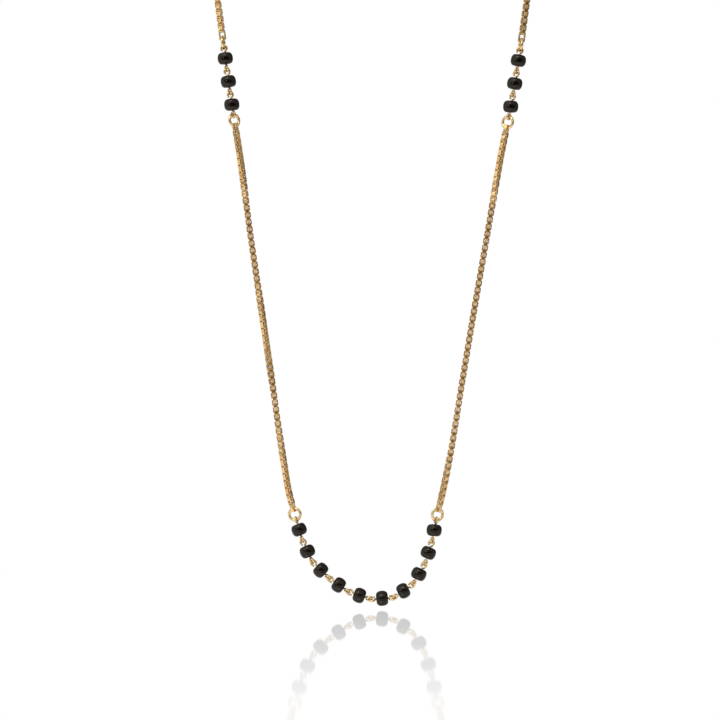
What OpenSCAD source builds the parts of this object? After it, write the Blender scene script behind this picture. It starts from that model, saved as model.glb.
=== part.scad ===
// Short mangalsutra: gold box chain with black glass beads wired into it.
// The loop hangs flat in the XZ plane and is seen from the front, along +Y.
// The origin is at the top middle of the loop, on the underside of the clasp.

/* [Beads] */
// Diameter of a glass bead
bead_d = 3; // [2.4:0.1:4]
// Length of a glass bead along its hole
bead_len = 2.3; // [1.8:0.1:3.2]
// Radius of the rounding at a bead's outer edges
bead_round = 0.85; // [0.3:0.05:0.95]
// Diameter of the hole through a bead
bead_bore = 1; // [0.8:0.05:1.2]

/* [Eye pins] */
// Diameter of the wire in the eyes of a pin
eye_wire = 0.4; // [0.3:0.02:0.5]
// Diameter of the pin's stem inside the bead
stem_d = 0.36; // [0.24:0.02:0.46]
// Room in an eye beside the thickest wire that passes through it
eye_play = 0.15; // [0.1:0.05:0.5]
// Room between a bead's end and the eye outside it
seat_gap = 0.05; // [0.05:0.05:0.3]

/* [Jump rings] */
// Diameter of the wire of a jump ring
ring_wire = 0.55; // [0.4:0.05:0.7]
// Inner diameter of a jump ring
ring_bore = 1.7; // [1.4:0.1:3]

/* [Box chain] */
// Width of the flat band that a box link is bent from
band_w = 0.74; // [0.5:0.02:0.8]
// Thickness of that band
band_t = 0.2; // [0.16:0.02:0.3]
// Room beside the band that passes through a box link
band_play = 0.06; // [0.04:0.01:0.12]
// Room between two box links where they bear on each other
link_gap = 0.035; // [0.02:0.005:0.08]
// Free length between the two bands that lie inside one box link
link_slack = 0.257; // [0.08:0.001:0.3]
// Box links in each run of chain between the front beads and the side beads
front_links = 105; // [60:1:130]

/* [End links] */
// Length of the longer link at each end of a run of chain
end_len = 2; // [1.9:0.1:3]
// Thickness of its band
end_t = 0.2; // [0.16:0.02:0.3]
// Room beside that band inside the last box link
end_fit = 0.14; // [0.08:0.02:0.24]
// Room in the end link beside the wire or band that passes through it
end_play = 0.11; // [0.08:0.01:0.3]

/* [Clasp] */
// Diameter of the wire of the S hook
hook_wire = 0.9; // [0.7:0.05:1.1]
// Radius of each bow of the S hook, to the middle of its wire
hook_r = 1.9; // [1.6:0.1:3]
// Part of a circle that each bow turns through
hook_turn = 275; // [230:5:285]
// Diameter of the ball on each tip of the S hook
tip_d = 1.1; // [1:0.05:1.4]

/* [Joints] */
// Room between two pieces that hang on each other
gap = 0.08; // [0.05:0.01:0.15]

/* [Hidden] */
$fn = 48;
GOLD = [0.83, 0.61, 0.34];
BLACK = [0.06, 0.055, 0.06];

// The middle line of the necklace, X and Z, from the top middle down the left
// side, across the front and up the right side. It closes on its first point.
ROUTE = [
    [0, 0], [-14.6, -3.1], [-26.7, -12], [-33.9, -25], [-35.3, -40],
    [-33.8, -55], [-31.8, -69], [-29.8, -83], [-27.1, -103], [-25.5, -113],
    [-23.5, -128], [-21.3, -143], [-19.1, -158], [-16.9, -173], [-16, -178.3],
    [-14.7, -183.2], [-13.4, -187.7], [-11.5, -191.8], [-8.3, -195], [-4.6, -197.6],
    [-0.2, -199.1],
    [4.3, -198.8], [7.9, -196.3], [10.3, -192.3], [11.7, -187.9], [12.6, -183.4],
    [13.8, -178.3], [14.9, -173], [17.4, -158], [19.9, -143], [22.5, -128],
    [25.1, -113], [27.1, -103], [28.7, -93], [30.1, -83], [32, -69],
    [33.9, -55], [35.3, -40], [33.9, -25], [26.7, -12], [14.6, -3.1]
];
// Place in the route of the joint between the two middle beads
MIDDLE = 20;
// Straight steps that each stretch between two points of the route is cut into
STEPS = 12;

// A chain's tube has this many sides, and a ring about every RING_STEP widths
SIDES = 8;
RING_STEP = 4.2;

// One row for each pin, outward from the middle of the front and upward in a
// side group. Columns: turn of the inner eye, turn of the outer eye, and lean
// of the bead on its pin, in degrees. An eye of turn 0 faces the front.
INNER = 0;
OUTER = 1;
LEAN = 2;
FRONT_LEFT = [[-48, 28, 2], [-62, 36, -2], [-54, 30, -1], [-60, 22, 2], [-68, 75, -6]];
FRONT_RIGHT = [[-46, -46, -2], [48, -34, 9], [58, -36, -6], [54, -28, 6], [62, -64, -7]];
SIDE_LEFT = [[-50, 28, 3], [-62, 26, -2], [-64, -6, 1]];
SIDE_RIGHT = [[56, -34, -8], [56, -30, 2], [60, 8, 2]];
// Turns of the jump rings and of the end links, for the left and the right:
// below the front chain, above it, above the side beads and at the clasp
RING_TURNS = [[-17, 40, 83, 0], [28, -34, -81, 0]];
END_TURNS = [[65, -58, -15, 90], [-54, 64, 17, 90]];

// Sizes that follow from those above
eye_bore = max(ring_wire, eye_wire) + eye_play;
eye_r = (eye_bore + eye_wire) / 2;
eye_at = bead_len / 2 + seat_gap + eye_wire / 2 + eye_r;
ring_r = (ring_bore + ring_wire) / 2;
link_pitch = 2 * band_t + link_gap + link_slack;
link_len = link_pitch + 2 * band_t + link_gap;
link_open = band_w + band_play;
chain_w = link_open + 2 * band_t;
end_open = max(band_w, ring_wire) + end_play;
end_band_w = link_open - end_fit;

// How far a round inner edge of radius r falls away at the edges of a band
function sag(r, band) = r - sqrt(r * r - band * band / 4);
ring_room = gap + sag(ring_bore / 2, end_band_w);

// Length from a piece's middle to its joint with the next piece: its bow lies
// at reach, and own and other are the thicknesses that bear on each other
function half(reach, own, other, room) = reach - ((own + other) / 2 + room) / 2;
pin_to_pin = half(eye_at + eye_r, eye_wire, eye_wire, gap);
pin_to_ring = half(eye_at + eye_r, eye_wire, ring_wire, gap);
ring_to_pin = half(ring_r, ring_wire, eye_wire, gap);
ring_to_end = half(ring_r, ring_wire, end_t, ring_room);
ring_to_hook = half(ring_r, ring_wire, hook_wire, gap);
end_to_ring = half((end_len - end_t) / 2, end_t, ring_wire, ring_room);
end_to_link = half((end_len - end_t) / 2, end_t, band_t, gap);
link_to_end = half((link_len - band_t) / 2, band_t, end_t, gap);
hook_to_ring = half(2 * hook_r, hook_wire, ring_wire, gap);

// A smooth curve through the route's points, and the distance along it
count = len(ROUTE);
function wrap(i) = (i + count) % count;
span = [for (i = [0 : count - 1]) norm(ROUTE[wrap(i + 1)] - ROUTE[i])];
slope = [for (i = [0 : count - 1]) (ROUTE[wrap(i + 1)] - ROUTE[i]) / span[i]];
heading = [for (i = [0 : count - 1])
    let (before = wrap(i - 1))
    (slope[before] * span[i] + slope[i] * span[before]) / (span[before] + span[i])];
function bend(i, t) = ROUTE[i] * (2 * t^3 - 3 * t^2 + 1)
    + ROUTE[wrap(i + 1)] * (3 * t^2 - 2 * t^3)
    + heading[i] * span[i] * (t^3 - 2 * t^2 + t)
    + heading[wrap(i + 1)] * span[i] * (t^3 - t^2);
curve = concat(
    [for (i = [0 : count - 1]) for (k = [0 : STEPS - 1]) bend(i, k / STEPS)],
    [ROUTE[0]]);
last = len(curve) - 1;
along = [for (i = 0, s = 0; i <= last;
    i = i + 1, s = i > last ? s : s + norm(curve[i] - curve[i - 1])) s];
x_along = [for (i = [0 : last]) [along[i], curve[i][0]]];
z_along = [for (i = [0 : last]) [along[i], curve[i][1]]];
loop_len = along[last];
// The straight clasp cuts the top of the curve off by this much
clasp_drop = -lookup(hook_to_ring, z_along);
function at(s) = [lookup(s, x_along), 0, lookup(s, z_along) + clasp_drop + hook_wire / 2];

// The place along the curve that lies a straight length from place s, found by
// stepping on by what is missing; way is 1 along the curve and -1 against it
function reach(s, length, way, guess, tries = 5) = tries == 0 ? guess
    : reach(s, length, way, guess + way * (length - norm(at(guess) - at(s))), tries - 1);
function joints(s, way, lengths, i = 0) = i == len(lengths) ? [s]
    : concat([s], joints(reach(s, lengths[i], way, s + way * lengths[i]), way, lengths, i + 1));

// Joints of each side: 0 is the left, which runs against the curve from the
// middle of the front, and 1 is the right, which runs along it
pins = len(FRONT_LEFT);
side_pins = len(SIDE_LEFT);
WAYS = [-1, 1];
front_joints = [for (way = WAYS) joints(along[MIDDLE * STEPS], way, concat(
    [for (i = [1 : pins - 1]) 2 * pin_to_pin],
    [pin_to_pin + pin_to_ring, ring_to_pin + ring_to_end, end_to_ring + end_to_link]))];
front_first = [for (side = [0, 1]) front_joints[side][pins + 2] + WAYS[side] * link_to_end];
front_last = [for (side = [0, 1]) front_first[side] + WAYS[side] * (front_links - 1) * link_pitch];
side_joints = [for (side = [0, 1]) joints(front_last[side] + WAYS[side] * link_to_end,
    WAYS[side], concat(
    [end_to_link + end_to_ring, ring_to_end + ring_to_pin, pin_to_ring + pin_to_pin],
    [for (i = [3 : side_pins]) 2 * pin_to_pin],
    [pin_to_pin + pin_to_ring, ring_to_pin + ring_to_end, end_to_ring + end_to_link]))];
back_first = [for (side = [0, 1])
    side_joints[side][side_pins + 4] + WAYS[side] * link_to_end];
clasp_joints = [for (side = [0, 1]) joints(
    side == 0 ? hook_to_ring : loop_len - hook_to_ring, -WAYS[side],
    [ring_to_hook + ring_to_end, end_to_ring + end_to_link])];
back_last = [for (side = [0, 1]) clasp_joints[side][2] - WAYS[side] * link_to_end];

// Puts a piece between two joints: its middle lies length on from the first,
// and it is turned about the line between them
module between(from, to, length, turn = 0) {
    line = at(to) - at(from);
    middle = at(from) + line / norm(line) * length;
    translate(middle)
        rotate([0, atan2(line[0], line[2]), 0])
            rotate([0, 0, turn])
                children();
}

module bead() {
    flat = bead_len / 2 - bead_round;
    color(BLACK) rotate_extrude() intersection() {
        union() {
            translate([0, -bead_len / 2]) square([bead_d / 2 - bead_round, bead_len]);
            translate([0, -flat]) square([bead_d / 2, 2 * flat]);
            for (z = [-1, 1]) translate([bead_d / 2 - bead_round, z * flat]) circle(bead_round);
        }
        translate([bead_bore / 2, -bead_len]) square([bead_d, 2 * bead_len]);
    }
}

module round_ring(r, wire) {
    rotate([90, 0, 0]) rotate_extrude() translate([r, 0]) circle(wire / 2);
}

module eye_pin(turns) {
    color(GOLD) {
        cylinder(h = 2 * (eye_at - eye_r), d = stem_d, center = true);
        translate([0, 0, -eye_at]) rotate([0, 0, turns[INNER]]) round_ring(eye_r, eye_wire);
        translate([0, 0, eye_at]) rotate([0, 0, turns[OUTER]]) round_ring(eye_r, eye_wire);
    }
}

module jump_ring() {
    color(GOLD) round_ring(ring_r, ring_wire);
}

// A flat band of width band and thickness t, bent round an open box
module band_loop(open_w, length, t, band) {
    color(GOLD) rotate([90, 0, 0]) linear_extrude(band, center = true) difference() {
        union() {
            square([open_w, length], center = true);
            square([open_w + 2 * t, length - 2 * t], center = true);
            for (x = [-1, 1], z = [-1, 1])
                translate([x * open_w / 2, z * (length / 2 - t)]) circle(t);
        }
        square([open_w, length - 2 * t], center = true);
    }
}

module end_link() {
    band_loop(end_open, end_len, end_t, end_band_w);
}

module box_link() {
    band_loop(link_open, link_len, band_t, band_w);
}

// The outer form of a run of chain between two of its places, as a tube
module chain_tube(from, to) {
    rings = max(1, round(abs(to - from) / (RING_STEP * chain_w)));
    corner = chain_w / 2 / cos(180 / SIDES);
    ahead = chain_w / 10;
    points = [for (k = [0 : rings])
        let (s = from + (to - from) * k / rings)
        let (line = at(s + ahead) - at(s - ahead))
        let (across = [line[2], 0, -line[0]] / norm(line))
        for (j = [0 : SIDES - 1])
            let (a = 360 * (j + 0.5) / SIDES)
            at(s) + corner * (across * cos(a) + [0, sin(a), 0])];
    sides = [for (k = [0 : rings - 1]) for (j = [0 : SIDES - 1])
        let (here = k * SIDES + j)
        let (next = k * SIDES + (j + 1) % SIDES)
        for (face = [[here, here + SIDES, next + SIDES], [here, next + SIDES, next]]) face];
    start = [for (j = [0 : SIDES - 1]) j];
    end = [for (j = [SIDES - 1 : -1 : 0]) rings * SIDES + j];
    polyhedron(points, concat(sides, [start, end]));
}

// A run of chain from the middle of its first box link to the middle of its
// last one. Those two stay open for the end links and have a turn each.
module chain_run(from, to, turns) {
    way = sign(to - from);
    inward = way * (link_len - band_t) / 2;
    color(GOLD) {
        chain_tube(min(from + inward, to - inward), max(from + inward, to - inward));
        between(from, from + way * link_pitch, 0, turns[0]) box_link();
        between(to, to + way * link_pitch, 0, turns[1]) box_link();
    }
}

// Two round bows with a ball on each tip, lying flat
module clasp() {
    color(GOLD) translate([0, 0, hook_wire / 2]) for (half_turn = [0, 180])
        rotate([0, 0, half_turn]) translate([hook_r, 0, 0]) rotate([0, 0, 180]) {
            rotate_extrude(angle = hook_turn) translate([hook_r, 0]) circle(hook_wire / 2);
            rotate([0, 0, hook_turn]) translate([hook_r, 0, 0]) sphere(d = tip_d);
        }
}

SIDE_NAMES = ["left", "right"];
// Places of the jump rings and end links, in the order of their turns
PLACES = ["front", "side_low", "side_top", "clasp"];

// The beads on their pins: the joints are those from number first on, and
// inner_half is the length from the first pin's middle to its inner joint
module string_of_beads(group, name, rows, joint, first, inner_half) {
    for (i = [0 : len(rows) - 1]) {
        from = joint[first + i];
        to = joint[first + i + 1];
        length = i == 0 ? inner_half : pin_to_pin;
        between(from, to, length) rotate([0, rows[i][LEAN], 0]) bead();
        between(from, to, length) eye_pin(rows[i]);
    }
}

// A jump ring and the end link beside it, with the joints in their order
module ring_and_end(place, side, ring_joints, ring_half, end_joints, end_half) {
    between(ring_joints[0], ring_joints[1], ring_half, RING_TURNS[side][place])
            jump_ring();
    between(end_joints[0], end_joints[1], end_half, END_TURNS[side][place]) end_link();
}

for (side = [0, 1]) {
    name = SIDE_NAMES[side];
    front = front_joints[side];
    group = side_joints[side];
    hook = clasp_joints[side];
    top = side_pins + 2;
    link_turns = [for (turn = END_TURNS[side]) turn - 90];
    string_of_beads("front", name, side == 0 ? FRONT_LEFT : FRONT_RIGHT, front, 0, pin_to_pin);
    string_of_beads("side", name, side == 0 ? SIDE_LEFT : SIDE_RIGHT, group, 2, pin_to_ring);
    ring_and_end(0, side, [front[pins], front[pins + 1]], ring_to_pin,
        [front[pins + 1], front[pins + 2]], end_to_ring);
    ring_and_end(1, side, [group[1], group[2]], ring_to_end,
        [group[0], group[1]], end_to_link);
    ring_and_end(2, side, [group[top], group[top + 1]], ring_to_pin,
        [group[top + 1], group[top + 2]], end_to_ring);
    ring_and_end(3, side, [hook[1], hook[0]], ring_to_end,
        [hook[2], hook[1]], end_to_link);
    chain_run(front_first[side], front_last[side], [link_turns[0], link_turns[1]]);
    chain_run(back_first[side], back_last[side], [link_turns[2], link_turns[3]]);
}
clasp();
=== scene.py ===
"""Looks of a short mangalsutra: gold box chain with black glass beads wired into it.

Sizes are in millimetres until a mesh is made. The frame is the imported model's:
+X to the right as seen from the front, +Y away from the viewer, +Z up.
"""
import bisect
import math
import random

import bpy
from mathutils import Matrix, Vector


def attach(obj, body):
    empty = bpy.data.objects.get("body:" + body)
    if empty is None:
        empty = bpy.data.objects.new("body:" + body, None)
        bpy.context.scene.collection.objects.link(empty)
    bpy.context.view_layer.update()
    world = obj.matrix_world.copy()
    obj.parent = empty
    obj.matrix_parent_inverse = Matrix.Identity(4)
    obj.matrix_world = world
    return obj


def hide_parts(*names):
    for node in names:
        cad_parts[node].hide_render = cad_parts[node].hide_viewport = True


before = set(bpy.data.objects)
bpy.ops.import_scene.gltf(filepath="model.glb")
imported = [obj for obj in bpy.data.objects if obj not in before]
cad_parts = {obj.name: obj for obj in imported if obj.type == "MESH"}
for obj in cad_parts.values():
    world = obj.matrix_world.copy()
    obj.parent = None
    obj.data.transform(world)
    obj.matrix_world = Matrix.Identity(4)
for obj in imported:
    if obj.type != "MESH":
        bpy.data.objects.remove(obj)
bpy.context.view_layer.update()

MM = 0.001
SIDES = ("left", "right")
PLACES = ("front", "side_low", "side_top", "clasp")

# Beads
BEAD_D = 3.0
BEAD_LEN = 2.3
BEAD_ROUND = 0.85
BEAD_BORE = 1.0
MOUTH_ROUND = 0.12
BEAD_SIDES = 48
# Power of the curve from a bead's end to its waist: 2 is a plain ellipse
BEAD_CROWN = 2.25
# Steps round the hole's mouth, and from a bead's end to its waist. The half step
# puts the waist between two rings of the mesh.
MOUTH_STEPS = 4
CROWN_STEPS = 11.5
# Waves round a bead, and the depth of each as a share of the radius
BEAD_WAVES = (2, 3, 5)
WAVE_DEPTH = (0.003, 0.006)
# Eye pins
EYE_WIRE = 0.4
STEM_D = 0.36
EYE_PLAY = 0.15
SEAT_GAP = 0.05
# An eye's bend starts this far below the eye and ends this many degrees round it.
# The two pulls shape the curve between.
BEND_START = 0.3
BEND_END = 34
BEND_PULLS = (0.06, 0.19)
BEND_STEPS = 6
# The round of an eye: degrees for each step, points, and the two last points
EYE_STEP = 11.5
EYE_POINTS = 25
EYE_TIP = (321, 322)
EYE_CUT = 0.05
PIN_SIDES = 12
# Jump rings
RING_WIRE = 0.55
RING_BORE = 1.7
RING_CUT = 0.035
# Place of the cut in degrees round the ring, and the length and depth of its edge
RING_SEAM = 24
RING_EDGE = (0.02, 0.03)
RING_STEPS = 60
RING_SIDES = 16
# Box chain
BAND_W = 0.74
BAND_T = 0.2
BAND_PLAY = 0.06
BAND_EDGE = 0.045
LINK_GAP = 0.035
# Radius of a link's bends, as a share of the band's thickness
BAND_BEND = 0.62
# Edges of a link sharper than this stay crisp, in degrees
CRISP_EDGE = 36
LINK_SLACK = 0.257
FRONT_LINKS = 105
# End links
END_LEN = 2.0
END_T = 0.2
END_FIT = 0.14
END_PLAY = 0.11
# Clasp
HOOK_WIRE = 0.9
HOOK_R = 1.9
HOOK_TURN = 275
TIP_D = 1.1
# The ball ends at this share of its radius, and the bow this far before the ball
BALL_END = 0.985
BALL_ROOM = 0.03
BALL_STEPS = 14
HOOK_STEPS = 55
HOOK_SIDES = 20
# Room between two pieces that hang on each other
GAP = 0.08

# The middle line of the necklace, X and Z, from the top middle down the left
# side, across the front and up the right side. It closes on its first point.
ROUTE = [
    (0, 0), (-14.6, -3.1), (-26.7, -12), (-33.9, -25), (-35.3, -40),
    (-33.8, -55), (-31.8, -69), (-29.8, -83), (-27.1, -103), (-25.5, -113),
    (-23.5, -128), (-21.3, -143), (-19.1, -158), (-16.9, -173), (-16, -178.3),
    (-14.7, -183.2), (-13.4, -187.7), (-11.5, -191.8), (-8.3, -195), (-4.6, -197.6),
    (-0.2, -199.1),
    (4.3, -198.8), (7.9, -196.3), (10.3, -192.3), (11.7, -187.9), (12.6, -183.4),
    (13.8, -178.3), (14.9, -173), (17.4, -158), (19.9, -143), (22.5, -128),
    (25.1, -113), (27.1, -103), (28.7, -93), (30.1, -83), (32, -69),
    (33.9, -55), (35.3, -40), (33.9, -25), (26.7, -12), (14.6, -3.1),
]
MIDDLE = 20
STEPS = 12

# One row for each pin: turn of the inner eye, turn of the outer eye, and lean
# of the bead on its pin, in degrees
FRONT_ROWS = (
    ((-48, 28, 2), (-62, 36, -2), (-54, 30, -1), (-60, 22, 2), (-68, 75, -6)),
    ((-46, -46, -2), (48, -34, 9), (58, -36, -6), (54, -28, 6), (62, -64, -7)),
)
SIDE_ROWS = (
    ((-50, 28, 3), (-62, 26, -2), (-64, -6, 1)),
    ((56, -34, -8), (56, -30, 2), (60, 8, 2)),
)
RING_TURNS = ((-17, 40, 83, 0), (28, -34, -81, 0))
END_TURNS = ((65, -58, -15, 90), (-54, 64, 17, 90))

# Turn of the links about each run, left and right, between its two ends: share of
# the run, and degrees. At 0 and 90 a link faces the front, at 45 its corner does.
TWISTS = {
    "front": (((0.04, -40), (0.08, -42), (0.19, -8), (0.3, 6), (0.41, 40), (0.47, 50),
               (0.59, 84), (0.78, 92), (0.92, 52)),
              ((0.04, 30), (0.14, 2), (0.45, -6), (0.78, -2), (0.91, -42), (0.94, -43))),
    "back": (((0.15, 90), (0.75, 90)), ((0.15, -90), (0.75, -90))),
}
# A link's bends stand this far proud of the flat band's own thickness
BEND_FULL = 0.085
# Spread of the links' own small turns, in degrees
LINK_LOOSE = 3
FLOOR_Z = -200.3
# The floor, in metres: half its side, the depths between which its mirrored share
# grows, those shares, and the distances between which it fades away
FLOOR_HALF = 0.5
MIRROR_DEPTHS = (-0.19, 0.0)
MIRROR_SHARES = (0.14, 0.46)
FLOOR_FADE = (0.15, 0.45)
FLOOR_ROUGHNESS = 0.03
# Soft lights: name, place and size in metres, and power in watts
LIGHTS = (
    ("overhead", (-0.1, -0.35, 0.3), (0.26, 0.08), 0.42),
    ("left_front", (-0.3, -0.5, -0.02), (0.08, 0.16), 0.1),
    ("low_front", (0.05, -0.5, -0.36), (0.22, 0.06), 0.08),
)
MIDDLE_OF_LOOP = (0, 0, -0.12)
# The photograph's frame: pixels to the millimetre, and the point at its middle
PIXELS_PER_MM = 5.17
FRAME_PIXELS = 720
FRAME_MIDDLE = (-2.22, -152.22)
CAMERA_DISTANCE = 750.0

eye_bore = max(RING_WIRE, EYE_WIRE) + EYE_PLAY
eye_r = (eye_bore + EYE_WIRE) / 2
eye_at = BEAD_LEN / 2 + SEAT_GAP + EYE_WIRE / 2 + eye_r
ring_r = (RING_BORE + RING_WIRE) / 2
link_pitch = 2 * BAND_T + LINK_GAP + LINK_SLACK
link_len = link_pitch + 2 * BAND_T + LINK_GAP
link_open = BAND_W + BAND_PLAY
end_open = max(BAND_W, RING_WIRE) + END_PLAY
end_band_w = link_open - END_FIT
ring_room = GAP + RING_BORE / 2 - math.sqrt(RING_BORE ** 2 - end_band_w ** 2) / 2


def half(reach_out, own, other, room):
    """Length from a piece's middle to its joint with the next piece."""
    return reach_out - ((own + other) / 2 + room) / 2


pin_to_pin = half(eye_at + eye_r, EYE_WIRE, EYE_WIRE, GAP)
pin_to_ring = half(eye_at + eye_r, EYE_WIRE, RING_WIRE, GAP)
ring_to_pin = half(ring_r, RING_WIRE, EYE_WIRE, GAP)
ring_to_end = half(ring_r, RING_WIRE, END_T, ring_room)
ring_to_hook = half(ring_r, RING_WIRE, HOOK_WIRE, GAP)
end_to_ring = half((END_LEN - END_T) / 2, END_T, RING_WIRE, ring_room)
end_to_link = half((END_LEN - END_T) / 2, END_T, BAND_T, GAP)
link_to_end = half((link_len - BAND_T) / 2, BAND_T, END_T, GAP)
hook_to_ring = half(2 * HOOK_R, HOOK_WIRE, RING_WIRE, GAP)


# The route

def smooth_curve():
    """Points of a smooth closed curve through the route, and the distance along it."""
    count = len(ROUTE)
    points = [Vector(p) for p in ROUTE]
    spans = [(points[(i + 1) % count] - points[i]).length for i in range(count)]
    slopes = [(points[(i + 1) % count] - points[i]) / spans[i] for i in range(count)]
    headings = [(slopes[i - 1] * spans[i] + slopes[i] * spans[i - 1])
                / (spans[i - 1] + spans[i]) for i in range(count)]
    curve = []
    for i in range(count):
        j = (i + 1) % count
        for step in range(STEPS):
            t = step / STEPS
            curve.append(points[i] * (2 * t ** 3 - 3 * t ** 2 + 1)
                         + points[j] * (3 * t ** 2 - 2 * t ** 3)
                         + headings[i] * spans[i] * (t ** 3 - 2 * t ** 2 + t)
                         + headings[j] * spans[i] * (t ** 3 - t ** 2))
    curve.append(points[0])
    along = [0.0]
    for before, after in zip(curve, curve[1:]):
        along.append(along[-1] + (after - before).length)
    return curve, along


CURVE, ALONG = smooth_curve()
LOOP_LEN = ALONG[-1]


def on_curve(s):
    i = min(max(bisect.bisect_right(ALONG, s) - 1, 0), len(ALONG) - 2)
    return CURVE[i].lerp(CURVE[i + 1], (s - ALONG[i]) / (ALONG[i + 1] - ALONG[i]))


CLASP_DROP = -on_curve(hook_to_ring).y


def at(s):
    """The place at distance s along the loop."""
    p = on_curve(s)
    return Vector((p.x, 0, p.y + CLASP_DROP + HOOK_WIRE / 2))


def joints(s, way, lengths):
    """Distances along the loop of joints that lie straight lengths apart."""
    found = [s]
    for length in lengths:
        start = at(found[-1])
        guess = found[-1] + way * length
        for _ in range(5):
            guess += way * (length - (at(guess) - start).length)
        found.append(guess)
    return found


def between(start, end, length, turn=0.0, lean=0.0):
    """Matrix of a piece between two joints, as the CAD places it."""
    a, b = at(start), at(end)
    line = (b - a).normalized()
    return (Matrix.Translation(a + line * length)
            @ Matrix.Rotation(math.atan2(line.x, line.z), 4, "Y")
            @ Matrix.Rotation(math.radians(turn), 4, "Z")
            @ Matrix.Rotation(math.radians(lean), 4, "Y"))


# Meshes

def mesh_object(name, points, faces, matrix, material):
    """A smooth closed mesh, from points in millimetres in the piece's own frame."""
    mesh = bpy.data.meshes.new(name)
    mesh.from_pydata([(matrix @ Vector(p)) * MM for p in points], [], faces)
    mesh.polygons.foreach_set("use_smooth", [True] * len(mesh.polygons))
    mesh.materials.append(material)
    mesh.update()
    piece = bpy.data.objects.new(name, mesh)
    bpy.context.scene.collection.objects.link(piece)
    return piece


def hand_over(piece, node):
    """The piece rides on the body and stands for its CAD node, whose part is hidden."""
    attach(piece, "root")
    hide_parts(node)


def wire(path, radii, sides):
    """A round wire swept along a path with no twist, with flat ends."""
    points, faces = [], []
    tangents = [(path[min(i + 1, len(path) - 1)] - path[max(i - 1, 0)]).normalized()
                for i in range(len(path))]
    across = tangents[0].orthogonal().normalized()
    for i, (place, radius) in enumerate(zip(path, radii)):
        if i:
            across = tangents[i - 1].rotation_difference(tangents[i]) @ across
        other = tangents[i].cross(across)
        for k in range(sides):
            a = 2 * math.pi * k / sides
            points.append(place + radius * (across * math.cos(a) + other * math.sin(a)))
    for i in range(len(path) - 1):
        for k in range(sides):
            here, turned = i * sides + k, i * sides + (k + 1) % sides
            faces.append((here, turned, turned + sides, here + sides))
    faces.append(tuple(range(sides - 1, -1, -1)))
    faces.append(tuple(range((len(path) - 1) * sides, len(path) * sides)))
    return points, faces


def cut_end(radius, edge):
    """Radii of a cut wire's last rings, from the full wire to the flat face."""
    return [radius, radius - 0.3 * edge, radius - edge]


def bead_profile():
    """Radius and height round a bead's half section, from the bore outward."""
    top = BEAD_LEN / 2
    profile = []
    for k in range(MOUTH_STEPS + 1):
        a = math.radians(90 / MOUTH_STEPS * k)
        profile.append((BEAD_BORE / 2 + MOUTH_ROUND * (1 - math.cos(a)),
                        top - MOUTH_ROUND * (1 - math.sin(a))))
    for k in range(math.ceil(CROWN_STEPS)):
        a = math.radians(90 * k / CROWN_STEPS)
        profile.append((BEAD_D / 2 - BEAD_ROUND * (1 - math.sin(a) ** (2 / BEAD_CROWN)),
                        top * math.cos(a) ** (2 / BEAD_CROWN)))
    return profile + [(r, -z) for r, z in reversed(profile)]


def bead_mesh(seed):
    """A drilled bead, a little out of round as pressed glass is."""
    draw = random.Random(seed)
    waves = [(n, draw.uniform(*WAVE_DEPTH), draw.uniform(0, 2 * math.pi))
             for n in BEAD_WAVES]
    profile = bead_profile()
    points, faces = [], []
    for k in range(BEAD_SIDES):
        a = 2 * math.pi * k / BEAD_SIDES
        dent = sum(size * (1 + math.sin(n * a + phase)) for n, size, phase in waves) / 2
        for r, z in profile:
            share = max(0.0, (r - BEAD_BORE) / (BEAD_D / 2 - BEAD_BORE))
            reach_out = r * (1 - dent * share)
            points.append(Vector((reach_out * math.cos(a), reach_out * math.sin(a), z)))
    rows = len(profile)
    for k in range(BEAD_SIDES):
        here, turned = k * rows, (k + 1) % BEAD_SIDES * rows
        for i in range(rows):
            j = (i + 1) % rows
            faces.append((here + i, here + j, turned + j, turned + i))
    return points, faces


def eye_path(turn, up):
    """Middle line of one eye: out of the bead, aside, and round to the wire's cut tip."""
    side = Vector((math.cos(math.radians(turn)), math.sin(math.radians(turn)), 0))
    rise = Vector((0, 0, up))
    low = eye_at - eye_r

    def on_eye(degrees):
        a = math.radians(degrees)
        return side * eye_r * math.sin(a) + rise * (eye_at - eye_r * math.cos(a))

    end = math.radians(BEND_END)
    join = on_eye(BEND_END)
    leave = rise * (low - BEND_START)
    first = rise * (low - BEND_PULLS[0])
    second = join - BEND_PULLS[1] * (side * math.cos(end) + rise * math.sin(end))
    path = []
    for k in range(BEND_STEPS):
        t = k / BEND_STEPS
        path.append(leave * (1 - t) ** 3 + first * 3 * t * (1 - t) ** 2
                    + second * 3 * t ** 2 * (1 - t) + join * t ** 3)
    path += [on_eye(BEND_END + EYE_STEP * k) for k in range(EYE_POINTS)]
    return path + [on_eye(degrees) for degrees in EYE_TIP]


def pin_mesh(turns):
    """A wire bent to an eye at each end, the stem a little thinner inside the bead."""
    inner = eye_path(turns[0], -1)
    outer = eye_path(turns[1], 1)
    tip = cut_end(EYE_WIRE / 2, EYE_CUT)
    radii = [STEM_D / 2 + (EYE_WIRE - STEM_D) / 2 * min(1, k / BEND_STEPS)
             for k in range(len(outer) - len(tip))] + tip
    return wire(inner[::-1] + outer, radii[::-1] + radii, PIN_SIDES)


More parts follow.
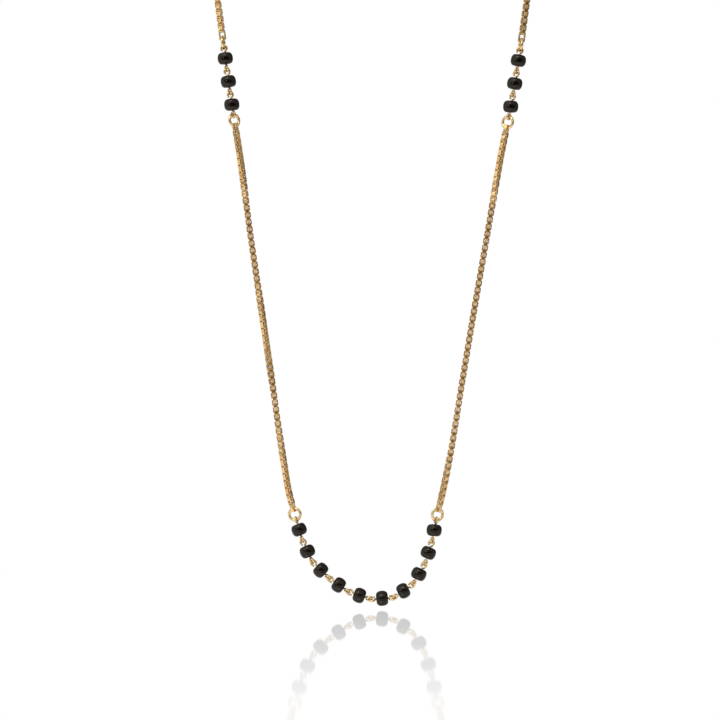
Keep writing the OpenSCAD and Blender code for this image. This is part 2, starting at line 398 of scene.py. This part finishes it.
def ring_mesh():
    """A jump ring, cut and closed up to a fine seam at its side."""
    seam = math.radians(RING_SEAM)
    room = RING_CUT / ring_r / 2
    edge = RING_EDGE[0] / ring_r
    turns = [k / RING_STEPS for k in range(RING_STEPS + 1)]
    angles = [seam + room + 2 * edge + t * (2 * math.pi - 2 * room - 4 * edge) for t in turns]
    angles = [seam + room, seam + room + edge] + angles
    angles += [2 * math.pi + seam - room - edge, 2 * math.pi + seam - room]
    path = [Vector((ring_r * math.cos(a), 0, ring_r * math.sin(a))) for a in angles]
    tip = cut_end(RING_WIRE / 2, RING_EDGE[1])
    radii = tip[:0:-1] + [RING_WIRE / 2] * len(turns) + tip[1:]
    return wire(path, radii, RING_SIDES)


def hook_mesh():
    """The S hook: two round bows in one wire, with a ball on each tip."""
    bow = []
    for k in range(HOOK_STEPS + 1):
        a = math.radians(HOOK_TURN * k / HOOK_STEPS)
        bow.append(Vector((HOOK_R - HOOK_R * math.cos(a), -HOOK_R * math.sin(a), HOOK_WIRE / 2)))
    ahead = (bow[-1] - bow[-2]).normalized()
    ball = TIP_D / 2
    start = -math.sqrt(ball ** 2 - (HOOK_WIRE / 2) ** 2)
    tip = bow[-1]
    reaches = [start + (ball * BALL_END - start) * k / BALL_STEPS
               for k in range(BALL_STEPS + 1)]
    path = [p for p in bow if (tip - p).length > -start + BALL_ROOM]
    radii = [HOOK_WIRE / 2] * len(path)
    path += [tip + ahead * d for d in reaches]
    radii += [math.sqrt(ball ** 2 - d ** 2) for d in reaches]
    other = [Vector((-p.x, -p.y, p.z)) for p in path[:0:-1]]
    return wire(other + path, radii[:0:-1] + radii, HOOK_SIDES)


# Links along a path

def add_node(tree, kind, inputs=(), **settings):
    node = tree.nodes.new(kind)
    for name, value in settings.items():
        setattr(node, name, value)
    for socket, value in dict(inputs).items():
        if isinstance(value, bpy.types.NodeSocket):
            tree.links.new(value, node.inputs[socket])
        else:
            node.inputs[socket].default_value = value
    return node


def calculate(tree, operation, first, second=0.0):
    inputs = {0: first, 1: second}
    return add_node(tree, "ShaderNodeMath", inputs, operation=operation).outputs[0]


def band_link_tree():
    """Links bent from flat band, set along a line, each a quarter turn on from the last."""
    tree = bpy.data.node_groups.new("band_links", "GeometryNodeTree")
    tree.interface.new_socket("Line", in_out="INPUT", socket_type="NodeSocketGeometry")
    tree.interface.new_socket("Links", in_out="INPUT", socket_type="NodeSocketInt")
    for name in ("Link length", "Opening", "Band thickness", "Band width", "Edge",
                 "Bend fullness", "Looseness"):
        tree.interface.new_socket(name, in_out="INPUT", socket_type="NodeSocketFloat")
    tree.interface.new_socket("Material", in_out="INPUT", socket_type="NodeSocketMaterial")
    tree.interface.new_socket("Links", in_out="OUTPUT", socket_type="NodeSocketGeometry")
    given = tree.nodes.new("NodeGroupInput").outputs
    thick = given["Band thickness"]

    outline = add_node(tree, "GeometryNodeCurvePrimitiveQuadrilateral", {
        "Width": calculate(tree, "ADD", given["Opening"], thick),
        "Height": calculate(tree, "SUBTRACT", given["Link length"], thick)})
    bent = add_node(tree, "GeometryNodeFilletCurve", {
        "Curve": outline.outputs[0],
        "Radius": calculate(tree, "MULTIPLY", thick, BAND_BEND)}, mode="POLY")
    bent.inputs["Count"].default_value = 2
    section = add_node(tree, "GeometryNodeCurvePrimitiveQuadrilateral", {
        "Width": thick, "Height": given["Band width"]})
    eased = add_node(tree, "GeometryNodeFilletCurve", {
        "Curve": section.outputs[0], "Radius": given["Edge"]}, mode="POLY")
    eased.inputs["Count"].default_value = 1
    swept = add_node(tree, "GeometryNodeCurveToMesh", {
        "Curve": bent.outputs[0], "Profile Curve": eased.outputs[0]})
    spot = tree.nodes.new("GeometryNodeInputPosition").outputs[0]
    height = add_node(tree, "ShaderNodeSeparateXYZ", {0: spot}).outputs["Y"]
    inside = calculate(tree, "SUBTRACT",
                       calculate(tree, "MULTIPLY", given["Link length"], 0.5), thick)
    depth = add_node(tree, "ShaderNodeMapRange", {
        "Value": calculate(tree, "SUBTRACT", calculate(tree, "ABSOLUTE", height), inside),
        "From Min": 0.0, "From Max": thick, "To Min": 0.0, "To Max": given["Bend fullness"]})
    outward = calculate(tree, "MULTIPLY", calculate(tree, "SIGN", height), depth.outputs[0])
    shift = add_node(tree, "ShaderNodeCombineXYZ", {"Y": outward})
    full = add_node(tree, "GeometryNodeSetPosition", {
        "Geometry": swept.outputs[0], "Offset": shift.outputs[0]})
    upright = add_node(tree, "GeometryNodeTransform", {
        "Geometry": full.outputs[0], "Rotation": (math.pi / 2, 0, 0)})

    count = given["Links"]
    index = tree.nodes.new("GeometryNodeInputIndex").outputs[0]
    alone = calculate(tree, "MULTIPLY", calculate(tree, "LESS_THAN", count, 1.5), 0.5)
    steps = calculate(tree, "MAXIMUM", calculate(tree, "SUBTRACT", count, 1.0), 1.0)
    share = calculate(tree, "DIVIDE", calculate(tree, "ADD", index, alone), steps)
    line = add_node(tree, "GeometryNodeMeshToCurve", {"Mesh": given["Line"]})
    turn = add_node(tree, "GeometryNodeInputNamedAttribute", {"Name": "turn"},
                    data_type="FLOAT")
    place = add_node(tree, "GeometryNodeSampleCurve", {
        "Curves": line.outputs[0], "Value": turn.outputs[0], "Factor": share},
        mode="FACTOR", data_type="FLOAT")
    points = add_node(tree, "GeometryNodePoints", {"Count": count})
    placed = add_node(tree, "GeometryNodeSetPosition", {
        "Geometry": points.outputs[0], "Position": place.outputs["Position"]})
    shade = add_node(tree, "FunctionNodeRandomValue", {"ID": index, "Seed": 7})
    marked = add_node(tree, "GeometryNodeStoreNamedAttribute", {
        "Geometry": placed.outputs[0], "Name": "link_tone", "Value": shade.outputs[1]})

    loose = calculate(tree, "MULTIPLY", given["Looseness"],
                      calculate(tree, "SUBTRACT", shade.outputs[1], 0.5))
    twist = calculate(tree, "ADD", place.outputs["Value"], loose)
    quarter = calculate(tree, "MULTIPLY", index, math.pi / 2)
    turned = add_node(tree, "FunctionNodeAxisAngleToRotation", {
        "Axis": (0, 0, 1), "Angle": calculate(tree, "ADD", twist, quarter)})
    aimed = add_node(tree, "FunctionNodeAlignRotationToVector", {
        "Vector": place.outputs["Tangent"]}, axis="Z", pivot_axis="Y")
    posed = add_node(tree, "FunctionNodeRotateRotation", {
        "Rotation": aimed.outputs[0], "Rotate By": turned.outputs[0]}, rotation_space="LOCAL")

    links = add_node(tree, "GeometryNodeInstanceOnPoints", {
        "Points": marked.outputs[0], "Instance": upright.outputs[0],
        "Rotation": posed.outputs[0]})
    real = add_node(tree, "GeometryNodeRealizeInstances", {"Geometry": links.outputs[0]})
    painted = add_node(tree, "GeometryNodeSetMaterial", {
        "Geometry": real.outputs[0], "Material": given["Material"]})
    result = tree.nodes.new("NodeGroupOutput")
    tree.links.new(painted.outputs[0], result.inputs[0])
    return tree


def band_links(name, path, turns, count, length, opening, thick, width, full, loose):
    """Runs the tree along a path and keeps what it makes as a plain mesh."""
    line = bpy.data.meshes.new(name + "_line")
    line.from_pydata([p * MM for p in path], [(i, i + 1) for i in range(len(path) - 1)], [])
    turned = line.attributes.new("turn", "FLOAT", "POINT")
    turned.data.foreach_set("value", [math.radians(turn) for turn in turns])
    carrier = bpy.data.objects.new(name + "_line", line)
    bpy.context.scene.collection.objects.link(carrier)
    modifier = carrier.modifiers.new("links", "NODES")
    modifier.node_group = BAND_LINKS
    values = {"Links": count, "Link length": length * MM, "Opening": opening * MM,
              "Band thickness": thick * MM, "Band width": width * MM, "Edge": BAND_EDGE * MM,
              "Bend fullness": full * MM, "Looseness": math.radians(loose),
              "Material": CHAIN_GOLD}
    for item in BAND_LINKS.interface.items_tree:
        if item.in_out == "INPUT" and item.name in values:
            modifier[item.identifier] = values[item.name]
    depsgraph = bpy.context.evaluated_depsgraph_get()
    mesh = bpy.data.meshes.new_from_object(
        carrier.evaluated_get(depsgraph), preserve_all_data_layers=True, depsgraph=depsgraph)
    bpy.data.objects.remove(carrier)
    mesh.name = name
    mesh.polygons.foreach_set("use_smooth", [True] * len(mesh.polygons))
    mesh.set_sharp_from_angle(angle=math.radians(CRISP_EDGE))
    piece = bpy.data.objects.new(name, mesh)
    bpy.context.scene.collection.objects.link(piece)
    return piece


# Finishes

def hand_finish_group():
    """Fine marks of polishing, and slow change in tone, from a piece's own coordinates."""
    tree = bpy.data.node_groups.new("hand_finish", "ShaderNodeTree")
    for name in ("Mark scale", "Tone scale"):
        tree.interface.new_socket(name, in_out="INPUT", socket_type="NodeSocketFloat")
    for name in ("Marks", "Tone"):
        tree.interface.new_socket(name, in_out="OUTPUT", socket_type="NodeSocketFloat")
    given = tree.nodes.new("NodeGroupInput").outputs
    place = tree.nodes.new("ShaderNodeTexCoord").outputs["Object"]
    stretched = add_node(tree, "ShaderNodeMapping", {
        "Vector": place, "Scale": (1.0, 1.0, 0.25)})
    marks = add_node(tree, "ShaderNodeTexNoise", {
        "Vector": stretched.outputs[0], "Scale": given["Mark scale"],
        "Detail": 3.0, "Roughness": 0.6})
    tone = add_node(tree, "ShaderNodeTexNoise", {
        "Vector": place, "Scale": given["Tone scale"], "Detail": 2.0})
    result = tree.nodes.new("NodeGroupOutput")
    tree.links.new(marks.outputs[0], result.inputs["Marks"])
    tree.links.new(tone.outputs[0], result.inputs["Tone"])
    return tree


def finish(name, dark, light, smooth, dull, bump, marks, tones, links=False, **fixed):
    """A Principled finish whose colour, roughness and normal follow the hand finish."""
    material = bpy.data.materials.new(name)
    material.use_nodes = True
    tree = material.node_tree
    surface = tree.nodes["Principled BSDF"]
    for socket, value in fixed.items():
        surface.inputs[socket.replace("_", " ")].default_value = value
    made = tree.nodes.new("ShaderNodeGroup")
    made.node_tree = HAND_FINISH
    made.inputs["Mark scale"].default_value = marks
    made.inputs["Tone scale"].default_value = tones
    tone = made.outputs["Tone"]
    if links:
        each = add_node(tree, "ShaderNodeAttribute", attribute_name="link_tone")
        tone = add_node(tree, "ShaderNodeMix", {
            "Factor": 0.5, "A": tone, "B": each.outputs["Fac"]}).outputs["Result"]
    colour = add_node(tree, "ShaderNodeValToRGB", {"Fac": tone})
    colour.color_ramp.elements[0].position = 0.3
    colour.color_ramp.elements[0].color = (*dark, 1)
    colour.color_ramp.elements[1].position = 0.7
    colour.color_ramp.elements[1].color = (*light, 1)
    gloss = add_node(tree, "ShaderNodeMapRange", {
        "Value": made.outputs["Marks"], "From Min": 0.3, "From Max": 0.7,
        "To Min": smooth, "To Max": dull})
    relief = add_node(tree, "ShaderNodeBump", {
        "Height": made.outputs["Marks"], "Strength": bump, "Distance": 0.00001})
    tree.links.new(colour.outputs["Color"], surface.inputs["Base Color"])
    tree.links.new(gloss.outputs[0], surface.inputs["Roughness"])
    tree.links.new(relief.outputs[0], surface.inputs["Normal"])
    return material


HAND_FINISH = hand_finish_group()
CHAIN_GOLD = finish("polished_chain_gold", (0.76, 0.49, 0.2), (0.88, 0.63, 0.31),
                    smooth=0.2, dull=0.32, bump=0.25, marks=9000, tones=1500,
                    links=True, Metallic=1.0)
WIRE_GOLD = finish("drawn_wire_gold", (0.82, 0.59, 0.27), (0.91, 0.71, 0.39),
                   smooth=0.16, dull=0.26, bump=0.2, marks=7000, tones=900,
                   Metallic=1.0)
BLACK_GLASS = finish("black_glass", (0.0016, 0.0012, 0.001), (0.004, 0.003, 0.0024),
                     smooth=0.06, dull=0.12, bump=0.12, marks=2500, tones=700,
                     Metallic=0.0, IOR=1.44,
                     Specular_Tint=(1.0, 0.89, 0.77, 1.0))
BAND_LINKS = band_link_tree()


# The necklace

def string_of_beads(group, side, rows, places, inner_half):
    for i, row in enumerate(rows):
        length = inner_half if i == 0 else pin_to_pin
        ends = (places[i], places[i + 1], length)
        label = f"{group}_{SIDES[side]}_{i + 1}"
        seed = 100 * side + 10 * len(rows) + i
        bead = mesh_object("seed_bead_" + label, *bead_mesh(seed),
                           between(*ends, lean=row[2]), BLACK_GLASS)
        hand_over(bead, "bead_" + label)
        pin = mesh_object("looped_pin_" + label, *pin_mesh(row), between(*ends), WIRE_GOLD)
        hand_over(pin, "eye_pin_" + label)


def ring_and_end(place, side, ring_ends, end_ends):
    label = f"{PLACES[place]}_{SIDES[side]}"
    ring = mesh_object("round_ring_" + label, *ring_mesh(),
                       between(*ring_ends, RING_TURNS[side][place]), WIRE_GOLD)
    hand_over(ring, "jump_ring_" + label)
    start, end, length = end_ends
    line = (at(end) - at(start)).normalized()
    middle = at(start) + line * length
    turn = END_TURNS[side][place]
    link = band_links("long_link_" + label, [middle - line * 0.1, middle + line * 0.1],
                      [turn, turn], 1, END_LEN, end_open, END_T, end_band_w, 0.0, 0.0)
    hand_over(link, "end_link_" + label)


def turn_at(table, share):
    """The turn at a share of a run, straight between the rows of its table."""
    for (low, from_turn), (high, to_turn) in zip(table, table[1:]):
        if share <= high:
            return from_turn + (to_turn - from_turn) * (share - low) / (high - low)
    return table[-1][1]


def chain_run(group, side, start, end, first_turn, last_turn):
    """A run of box links whose first and last lie where the CAD's open links do."""
    steps = round(abs(end - start) / link_pitch)
    path = [at(start + (end - start) * k / steps) for k in range(steps + 1)]
    between_ends = TWISTS[group][side]
    first = (first_turn + 90) % 180 - 90
    last = last_turn - 90 * steps
    last += 180 * round((between_ends[-1][1] - last) / 180)
    table = ((0.0, first), *between_ends, (1.0, last))
    turns = [turn_at(table, k / steps) for k in range(steps + 1)]
    label = f"{group}_{SIDES[side]}"
    chain = band_links("box_chain_" + label, path, turns, steps + 1, link_len, link_open,
                       BAND_T, BAND_W, BEND_FULL, LINK_LOOSE)
    hand_over(chain, "chain_" + label)


for side, way in enumerate((-1, 1)):
    front = joints(ALONG[MIDDLE * STEPS], way, [2 * pin_to_pin] * 4 + [
        pin_to_pin + pin_to_ring, ring_to_pin + ring_to_end, end_to_ring + end_to_link])
    front_first = front[7] + way * link_to_end
    front_last = front_first + way * (FRONT_LINKS - 1) * link_pitch
    group = joints(front_last + way * link_to_end, way, [
        end_to_link + end_to_ring, ring_to_end + ring_to_pin, pin_to_ring + pin_to_pin,
        2 * pin_to_pin, pin_to_pin + pin_to_ring, ring_to_pin + ring_to_end,
        end_to_ring + end_to_link])
    back_first = group[7] + way * link_to_end
    hook = joints(hook_to_ring if side == 0 else LOOP_LEN - hook_to_ring, -way, [
        ring_to_hook + ring_to_end, end_to_ring + end_to_link])
    back_last = hook[2] - way * link_to_end

    string_of_beads("front", side, FRONT_ROWS[side], front, pin_to_pin)
    string_of_beads("side", side, SIDE_ROWS[side], group[2:], pin_to_ring)
    ring_and_end(0, side, (front[5], front[6], ring_to_pin), (front[6], front[7], end_to_ring))
    ring_and_end(1, side, (group[1], group[2], ring_to_end), (group[0], group[1], end_to_link))
    ring_and_end(2, side, (group[5], group[6], ring_to_pin), (group[6], group[7], end_to_ring))
    ring_and_end(3, side, (hook[1], hook[0], ring_to_end), (hook[2], hook[1], end_to_link))
    turns = [turn - 90 for turn in END_TURNS[side]]
    chain_run("front", side, front_first, front_last, turns[0], turns[1])
    chain_run("back", side, back_first, back_last, turns[2], turns[3])

clasp = mesh_object("s_hook", *hook_mesh(), Matrix.Identity(4), WIRE_GOLD)
hand_over(clasp, "clasp")


# The studio

def fading_floor():
    """A white glossy floor under the necklace that fades into the background."""
    material = bpy.data.materials.new("white_floor")
    material.use_nodes = True
    tree = material.node_tree
    tree.nodes.clear()
    glow = add_node(tree, "ShaderNodeEmission", {"Color": (1, 1, 1, 1), "Strength": 1.0})
    gloss = add_node(tree, "ShaderNodeBsdfGlossy", {
        "Color": (1, 1, 1, 1), "Roughness": FLOOR_ROUGHNESS})
    place = tree.nodes.new("ShaderNodeTexCoord").outputs["Object"]
    depth = add_node(tree, "ShaderNodeSeparateXYZ", {0: place}).outputs["Y"]
    mirrored = add_node(tree, "ShaderNodeMapRange", {
        "Value": depth, "From Min": MIRROR_DEPTHS[0], "From Max": MIRROR_DEPTHS[1],
        "To Min": MIRROR_SHARES[0], "To Max": MIRROR_SHARES[1]})
    floor = add_node(tree, "ShaderNodeMixShader", {
        0: mirrored.outputs[0], 1: glow.outputs[0], 2: gloss.outputs[0]})
    clear = tree.nodes.new("ShaderNodeBsdfTransparent")
    distance = add_node(tree, "ShaderNodeVectorMath", {
        0: place, 1: (0, 0, FLOOR_Z * MM)}, operation="DISTANCE").outputs["Value"]
    fade = add_node(tree, "ShaderNodeMapRange", {
        "Value": distance, "From Min": FLOOR_FADE[0], "From Max": FLOOR_FADE[1],
        "To Min": 0.0, "To Max": 1.0},
        interpolation_type="SMOOTHSTEP")
    seen = add_node(tree, "ShaderNodeMixShader", {
        0: fade.outputs[0], 1: floor.outputs[0], 2: clear.outputs[0]})
    output = tree.nodes.new("ShaderNodeOutputMaterial")
    tree.links.new(seen.outputs[0], output.inputs["Surface"])
    return material


def make_floor():
    z = FLOOR_Z * MM
    mesh = bpy.data.meshes.new("floor")
    corners = ((-1, -1), (1, -1), (1, 1), (-1, 1))
    mesh.from_pydata([(x * FLOOR_HALF, y * FLOOR_HALF, z) for x, y in corners],
                     [], [(0, 1, 2, 3)])
    mesh.materials.append(fading_floor())
    floor = bpy.data.objects.new("floor", mesh)
    bpy.context.scene.collection.objects.link(floor)


def soft_light(name, place, size, power):
    data = bpy.data.lights.new(name, "AREA")
    data.shape = "RECTANGLE"
    data.size, data.size_y = size
    data.energy = power
    light = bpy.data.objects.new(name, data)
    light.location = place
    light.rotation_euler = (Vector(MIDDLE_OF_LOOP) - Vector(place)).to_track_quat("-Z", "Y").to_euler()
    bpy.context.scene.collection.objects.link(light)


def make_world():
    """White to the camera. To metal and glass, a room that is bright at the left, dim at
    the right and behind, and dark in front between two soft bands, one above and one
    below, with white only straight behind."""
    world = bpy.data.worlds.new("studio")
    world.use_nodes = True
    tree = world.node_tree
    tree.nodes.clear()
    white = add_node(tree, "ShaderNodeBackground", {"Color": (1, 1, 1, 1), "Strength": 1.0})
    towards = tree.nodes.new("ShaderNodeTexCoord").outputs["Generated"]
    across, depth, height = add_node(tree, "ShaderNodeSeparateXYZ", {0: towards}).outputs

    def change(value, low, high, at_low, at_high):
        return add_node(tree, "ShaderNodeMapRange", {
            "Value": value, "From Min": low, "From Max": high,
            "To Min": at_low, "To Max": at_high}, interpolation_type="SMOOTHSTEP").outputs[0]

    lit_front = change(depth, -0.96, -0.6, 0.0, 1.0)
    front = calculate(tree, "ADD", calculate(tree, "MULTIPLY", lit_front, 0.65), 0.35)
    sides = change(across, -0.7, 0.7, 1.05, 0.45)
    behind = change(depth, -0.2, 0.6, 1.0, 0.34)
    room = calculate(tree, "MULTIPLY", calculate(tree, "MULTIPLY", front, sides), behind)
    level = change(calculate(tree, "ABSOLUTE", height), 0.1, 0.5, 0.25, 1.6)
    ahead = change(depth, -0.7, -0.25, 0.0, 1.0)
    lobes = add_node(tree, "ShaderNodeMix", {"Factor": ahead, "A": level, "B": 1.0})
    room = calculate(tree, "MULTIPLY", room, lobes.outputs["Result"])
    far = change(depth, 0.95, 0.985, 0.0, 1.0)
    strength = add_node(tree, "ShaderNodeMix", {"Factor": far, "A": room, "B": 1.0})
    warmth = add_node(tree, "ShaderNodeMixRGB", {
        "Fac": lit_front, "Color1": (1.0, 0.8, 0.58, 1), "Color2": (1.0, 0.97, 0.93, 1)})
    tint = add_node(tree, "ShaderNodeMixRGB", {
        "Fac": far, "Color1": warmth.outputs[0], "Color2": (1, 1, 1, 1)})
    around = add_node(tree, "ShaderNodeBackground", {
        "Color": tint.outputs[0], "Strength": strength.outputs["Result"]})
    camera = tree.nodes.new("ShaderNodeLightPath").outputs["Is Camera Ray"]
    either = add_node(tree, "ShaderNodeMixShader", {
        0: camera, 1: around.outputs[0], 2: white.outputs[0]})
    output = tree.nodes.new("ShaderNodeOutputWorld")
    tree.links.new(either.outputs[0], output.inputs["Surface"])
    bpy.context.scene.world = world


def make_camera():
    data = bpy.data.cameras.new("camera")
    data.lens = data.sensor_width * CAMERA_DISTANCE * PIXELS_PER_MM / FRAME_PIXELS
    camera = bpy.data.objects.new("camera", data)
    x, z = FRAME_MIDDLE
    camera.location = Vector((x, -CAMERA_DISTANCE, z)) * MM
    camera.rotation_euler = (math.pi / 2, 0, 0)
    bpy.context.scene.collection.objects.link(camera)
    bpy.context.scene.camera = camera


make_floor()
make_world()
make_camera()
for light in LIGHTS:
    soft_light(*light)
bpy.context.scene.view_settings.view_transform = "Standard"
